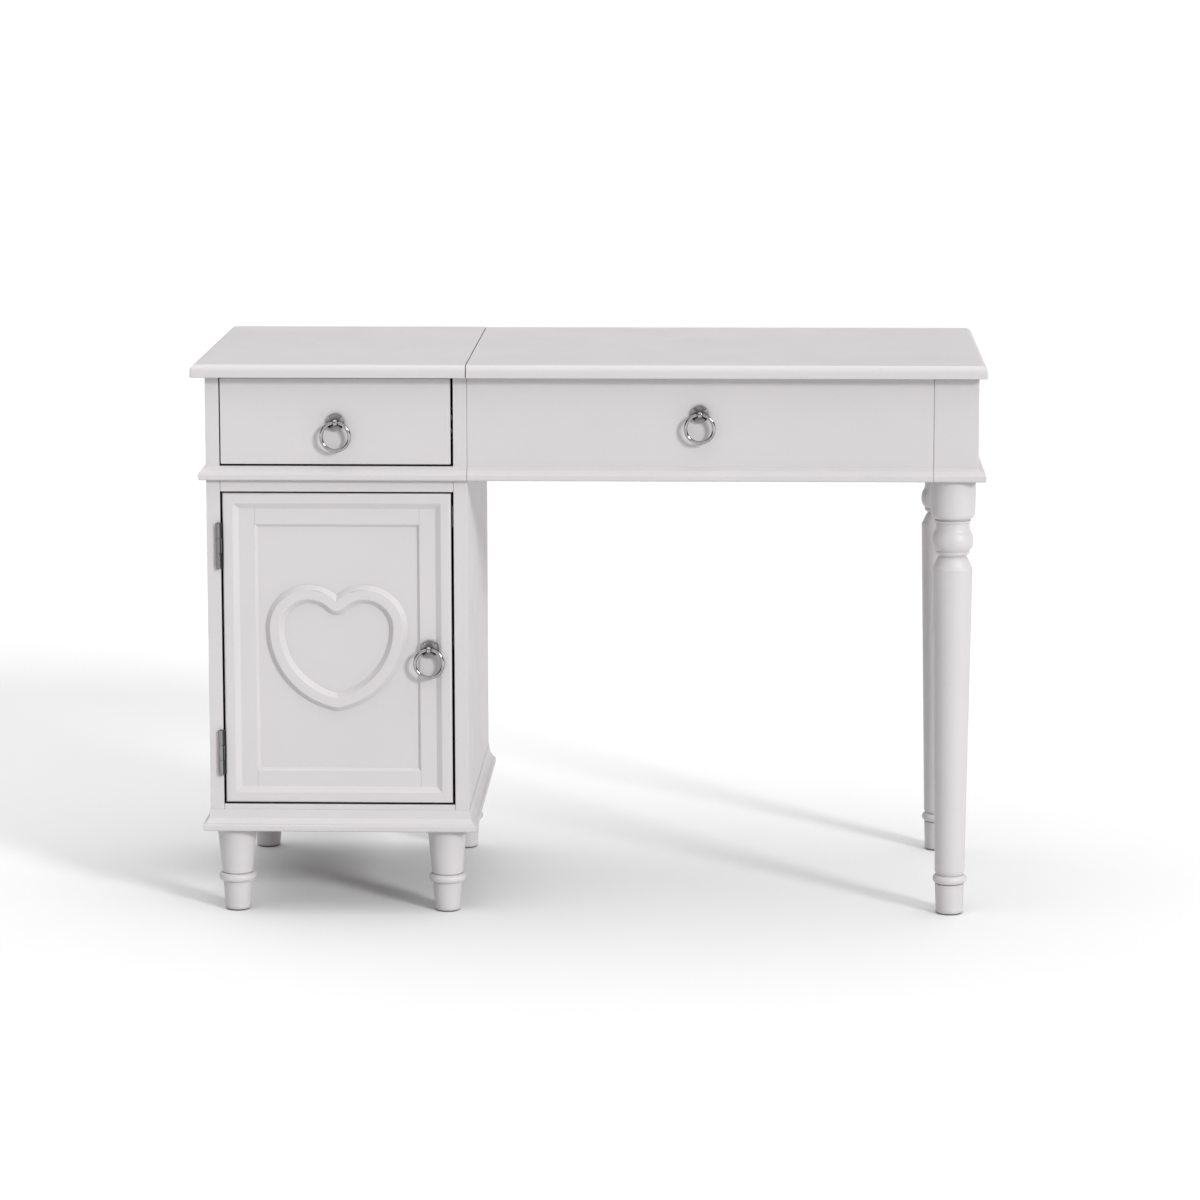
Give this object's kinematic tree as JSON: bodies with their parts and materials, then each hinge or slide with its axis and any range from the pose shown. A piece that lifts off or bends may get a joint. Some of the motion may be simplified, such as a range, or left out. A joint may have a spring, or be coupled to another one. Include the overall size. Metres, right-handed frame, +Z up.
{
  "type": "vanity table",
  "caption": "White vanity table: a pedestal cabinet with a drawer and a heart-panelled door beside a desk on turned legs, whose lid lifts on a stay and carries a mirror underneath.",
  "frame": {"origin": "on the floor, under the middle of the table's overall box", "axes": "+X to the right along the table's length, +Y to the back, +Z up; the drawer and door face -Y"},
  "size_m": [1.1, 0.485, 0.78],
  "materials": {
    "lacquer": "satin white lacquer on wood and fibreboard",
    "drawer_wood": "clear-sealed plywood",
    "hinge_steel": "satin steel",
    "zinc": "bright zinc plate",
    "nickel": "polished nickel plate",
    "mirror": "silvered glass",
    "catch_plastic": "moulded, matt"
  },
  "bodies": {
    "carcass": {"apron_pull_base": "nickel", "base_moulding": "lacquer", "cabinet_back_panel": "lacquer", "cabinet_bottom_board": "lacquer", "cabinet_bottom_rail": "lacquer", "cabinet_divider": "lacquer", "cabinet_middle_rail": "lacquer", "cabinet_shelf": "lacquer", "cabinet_side_left": "lacquer", "cabinet_side_right": "lacquer", "cabinet_top": "lacquer", "desk_bottom_panel": "lacquer", "desk_front_apron": "lacquer", "desk_leg_front": "lacquer", "desk_leg_rear": "lacquer", "desk_post_front": "lacquer", "desk_post_rear": "lacquer", "desk_rear_apron": "lacquer", "desk_side_left": "lacquer", "desk_side_right": "lacquer", "door_catch": "catch_plastic", "door_hinge_lower_fixed_leaf": "hinge_steel", "door_hinge_upper_fixed_leaf": "hinge_steel", "drawer_runner_outer_left": "zinc", "drawer_runner_outer_right": "zinc", "foot_front_left": "lacquer", "foot_front_right": "lacquer", "foot_rear_left": "lacquer", "foot_rear_right": "lacquer", "lid_hinge_left_fixed_leaf": "hinge_steel", "lid_hinge_right_fixed_leaf": "hinge_steel", "stay_base_bracket": "zinc", "waist_moulding_cabinet": "lacquer", "waist_moulding_desk": "lacquer"},
    "drawer": {"drawer_back": "drawer_wood", "drawer_bottom": "drawer_wood", "drawer_front": "lacquer", "drawer_pull_base": "nickel", "drawer_runner_inner_left": "zinc", "drawer_runner_inner_right": "zinc", "drawer_side_left": "drawer_wood", "drawer_side_right": "drawer_wood"},
    "door": {"door_frame": "lacquer", "door_heart": "lacquer", "door_hinge_lower_moving_leaf": "hinge_steel", "door_hinge_upper_moving_leaf": "hinge_steel", "door_panel": "lacquer", "door_pull_base": "nickel"},
    "lid": {"lid_board": "lacquer", "lid_hinge_left_moving_leaf": "hinge_steel", "lid_hinge_right_moving_leaf": "hinge_steel", "mirror_frame": "lacquer", "mirror_glass": "mirror", "stay_lid_bracket": "zinc"},
    "stay_lower": {"stay_lower_arm": "zinc"},
    "stay_upper": {"stay_upper_arm": "zinc"},
    "drawer_ring": {"drawer_pull_ring": "nickel"},
    "door_ring": {"door_pull_ring": "nickel"},
    "apron_ring": {"apron_pull_ring": "nickel"}
  },
  "joints": [
    {"name": "drawer_slide", "type": "slide", "parent": "carcass", "child": "drawer", "axis": [0, -1, 0], "range_m": [0, 0.28]},
    {"name": "door_hinge", "type": "hinge", "parent": "carcass", "child": "door", "pos_m": [-0.5156, -0.2259, 0.37925], "axis": [0, 0, -1], "range_deg": [0, 110]},
    {"name": "lid_hinge", "type": "hinge", "parent": "carcass", "child": "lid", "pos_m": [0.19105, 0.2398, 0.7618], "axis": [-1, 0, 0], "range_deg": [0, 98]},
    {"name": "stay_lower_pivot", "type": "hinge", "parent": "carcass", "child": "stay_lower", "pos_m": [0.4736, 0.1898, 0.6868], "axis": [-1, 0, 0], "range_deg": [0, 108]},
    {"name": "stay_upper_pivot", "type": "hinge", "parent": "stay_lower", "child": "stay_upper", "pos_m": [0.4705, 0.11963, 0.67902], "axis": [-1, 0, 0], "range_deg": [-116, 0]},
    {"name": "drawer_ring_swing", "type": "hinge", "parent": "drawer", "child": "drawer_ring", "pos_m": [-0.35, -0.2335, 0.699], "axis": [-1, 0, 0], "range_deg": [0, 170]},
    {"name": "door_ring_swing", "type": "hinge", "parent": "door", "child": "door_ring", "pos_m": [-0.22285, -0.2285, 0.37925], "axis": [-1, 0, 0], "range_deg": [0, 170]},
    {"name": "apron_ring_swing", "type": "hinge", "parent": "carcass", "child": "apron_ring", "pos_m": [0.15425, -0.2329, 0.7112], "axis": [-1, 0, 0], "range_deg": [0, 170]}
  ],
  "couplings": [
    {"joint": "stay_lower_pivot", "follows": "lid_hinge", "ratio": 1.0955},
    {"joint": "stay_upper_pivot", "follows": "lid_hinge", "ratio": -1.1801}
  ]
}
